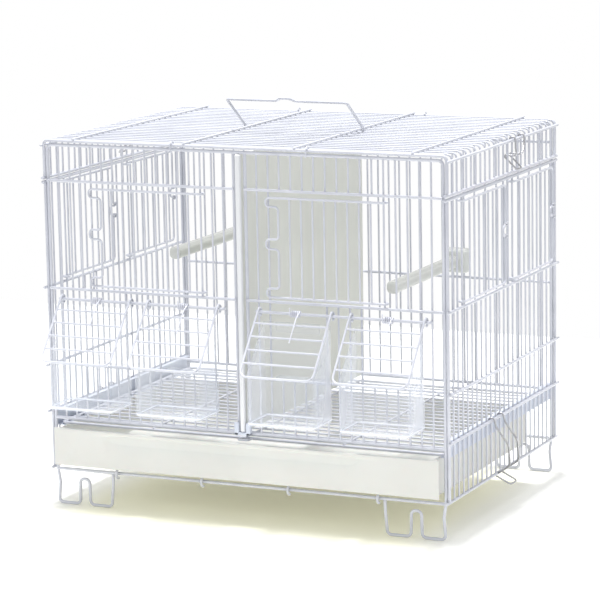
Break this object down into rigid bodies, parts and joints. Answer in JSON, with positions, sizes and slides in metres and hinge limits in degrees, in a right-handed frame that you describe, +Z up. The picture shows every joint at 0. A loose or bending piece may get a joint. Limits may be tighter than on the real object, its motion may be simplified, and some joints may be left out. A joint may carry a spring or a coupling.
{
  "type": "travel bird cage",
  "caption": "Welded-wire travel cage for small birds, with a hinged roof, side and front doors, sprung feeder hoods, a divider, a floor grille and a pull-out tray.",
  "frame": {"origin": "centre of the whole part's footprint, on the surface that the feet stand on", "axes": "+X to the right along the front, -Y out of the front towards the user, +Z up"},
  "size_m": [0.4856, 0.375, 0.4262],
  "materials": {
    "coated_wire": "satin white with a faint lavender tint",
    "cream_plastic": "satin cream",
    "pale_plastic": "satin pale blue grey",
    "bare_steel": "bright drawn wire",
    "clear_plastic": "clear gloss"
  },
  "bodies": {
    "cage": {"front_panel": "coated_wire", "back_panel": "coated_wire", "left_side_panel": "coated_wire", "right_side_panel": "coated_wire", "left_side_upper_frame": "coated_wire", "right_side_upper_frame": "coated_wire", "front_base_wire": "coated_wire", "back_base_wire": "coated_wire", "base_cross_wire_1": "coated_wire", "base_cross_wire_2": "coated_wire", "base_cross_wire_3": "coated_wire", "base_cross_wire_4": "coated_wire", "left_front_foot": "coated_wire", "left_back_foot": "coated_wire", "right_front_foot": "coated_wire", "right_back_foot": "coated_wire", "left_floor_channel": "pale_plastic", "right_floor_channel": "pale_plastic", "divider_guide": "pale_plastic", "left_feeder_rod": "coated_wire", "right_feeder_rod": "coated_wire", "feeder_cup_1": "clear_plastic", "feeder_cup_2": "clear_plastic", "feeder_cup_3": "clear_plastic", "feeder_cup_4": "clear_plastic", "left_perch_clamp": "cream_plastic", "left_perch": "cream_plastic", "right_perch_clamp": "cream_plastic", "right_perch": "cream_plastic"},
    "roof": {"roof_panel": "coated_wire", "left_roof_hinge_ring": "coated_wire", "right_roof_hinge_ring": "coated_wire", "left_roof_front_hook": "coated_wire", "right_roof_front_hook": "coated_wire"},
    "handle": {"carry_handle": "coated_wire"},
    "left_upper_clip": {"left_upper_clip": "bare_steel"},
    "right_upper_clip": {"right_upper_clip": "bare_steel"},
    "left_lower_clip": {"left_lower_clip": "bare_steel"},
    "right_lower_clip": {"right_lower_clip": "bare_steel"},
    "tray": {"tray": "cream_plastic", "tray_front_plate": "cream_plastic", "tray_left_wall": "cream_plastic", "tray_right_wall": "cream_plastic", "tray_back_wall": "cream_plastic"},
    "floor_grille": {"floor_grille": "coated_wire"},
    "divider": {"divider": "cream_plastic"},
    "left_front_door": {"left_front_door": "coated_wire"},
    "right_front_door": {"right_front_door": "coated_wire"},
    "left_side_front_door": {"left_side_front_door": "coated_wire"},
    "left_side_back_door": {"left_side_back_door": "coated_wire"},
    "right_side_front_door": {"right_side_front_door": "coated_wire"},
    "right_side_back_door": {"right_side_back_door": "coated_wire"},
    "hood_1": {"feeder_hood_1": "coated_wire", "feeder_spring_1": "bare_steel"},
    "hood_2": {"feeder_hood_2": "coated_wire", "feeder_spring_2": "bare_steel"},
    "hood_3": {"feeder_hood_3": "coated_wire", "feeder_spring_3": "bare_steel"},
    "hood_4": {"feeder_hood_4": "coated_wire", "feeder_spring_4": "bare_steel"}
  },
  "joints": [
    {"name": "roof_hinge", "type": "hinge", "parent": "cage", "child": "roof", "pos_m": [0, 0.18115, 0.38177], "axis": [-1, 0, 0], "range_deg": [0, 100]},
    {"name": "handle_pivot", "type": "hinge", "parent": "roof", "child": "handle", "pos_m": [0, 0.02685, 0.38617], "axis": [1, 0, 0], "range_deg": [-110, 27]},
    {"name": "left_upper_clip_pivot", "type": "hinge", "parent": "roof", "child": "left_upper_clip", "pos_m": [-0.2271, 0.059, 0.38087], "axis": [0, 1, 0], "range_deg": [0, 90]},
    {"name": "left_lower_clip_pivot", "type": "hinge", "parent": "cage", "child": "left_lower_clip", "pos_m": [-0.2268, -0.00529, 0.09987], "axis": [0, 1, 0], "range_deg": [0, 70]},
    {"name": "right_upper_clip_pivot", "type": "hinge", "parent": "roof", "child": "right_upper_clip", "pos_m": [0.2271, 0.059, 0.38087], "axis": [0, -1, 0], "range_deg": [0, 90]},
    {"name": "right_lower_clip_pivot", "type": "hinge", "parent": "cage", "child": "right_lower_clip", "pos_m": [0.2268, -0.00529, 0.09987], "axis": [0, -1, 0], "range_deg": [0, 70]},
    {"name": "tray_slide", "type": "slide", "parent": "cage", "child": "tray", "axis": [0, -1, 0], "range_m": [0, 0.26]},
    {"name": "grille_slide", "type": "slide", "parent": "cage", "child": "floor_grille", "axis": [0, -1, 0], "range_m": [0, 0.28]},
    {"name": "divider_slide", "type": "slide", "parent": "cage", "child": "divider", "axis": [0, -1, 0], "range_m": [0, 0.305]},
    {"name": "left_front_door_hinge", "type": "hinge", "parent": "cage", "child": "left_front_door", "pos_m": [-0.04406, -0.12815, 0.28787], "axis": [0, 0, 1], "range_deg": [0, 100]},
    {"name": "right_front_door_hinge", "type": "hinge", "parent": "cage", "child": "right_front_door", "pos_m": [0.15736, -0.12815, 0.28787], "axis": [0, 0, 1], "range_deg": [0, 100]},
    {"name": "left_side_front_door_hinge", "type": "hinge", "parent": "cage", "child": "left_side_front_door", "pos_m": [-0.224, -0.08887, 0.28787], "axis": [0, 0, 1], "range_deg": [0, 100]},
    {"name": "left_side_back_door_hinge", "type": "hinge", "parent": "cage", "child": "left_side_back_door", "pos_m": [-0.224, 0.05257, 0.28787], "axis": [0, 0, 1], "range_deg": [0, 100]},
    {"name": "right_side_front_door_hinge", "type": "hinge", "parent": "cage", "child": "right_side_front_door", "pos_m": [0.224, -0.08887, 0.28787], "axis": [0, 0, -1], "range_deg": [0, 100]},
    {"name": "right_side_back_door_hinge", "type": "hinge", "parent": "cage", "child": "right_side_back_door", "pos_m": [0.224, 0.05257, 0.28787], "axis": [0, 0, -1], "range_deg": [0, 100]},
    {"name": "hood_1_hinge", "type": "hinge", "parent": "cage", "child": "hood_1", "pos_m": [-0.16365, -0.13465, 0.22187], "axis": [-1, 0, 0], "range_deg": [0, 52], "stiffness_Nm_per_rad": 0.02, "springref_deg": -34.38},
    {"name": "hood_2_hinge", "type": "hinge", "parent": "cage", "child": "hood_2", "pos_m": [-0.06294, -0.13465, 0.22187], "axis": [-1, 0, 0], "range_deg": [0, 52], "stiffness_Nm_per_rad": 0.02, "springref_deg": -34.38},
    {"name": "hood_3_hinge", "type": "hinge", "parent": "cage", "child": "hood_3", "pos_m": [0.06294, -0.13465, 0.22187], "axis": [-1, 0, 0], "range_deg": [0, 52], "stiffness_Nm_per_rad": 0.02, "springref_deg": -34.38},
    {"name": "hood_4_hinge", "type": "hinge", "parent": "cage", "child": "hood_4", "pos_m": [0.16365, -0.13465, 0.22187], "axis": [-1, 0, 0], "range_deg": [0, 52], "stiffness_Nm_per_rad": 0.02, "springref_deg": -34.38}
  ]
}
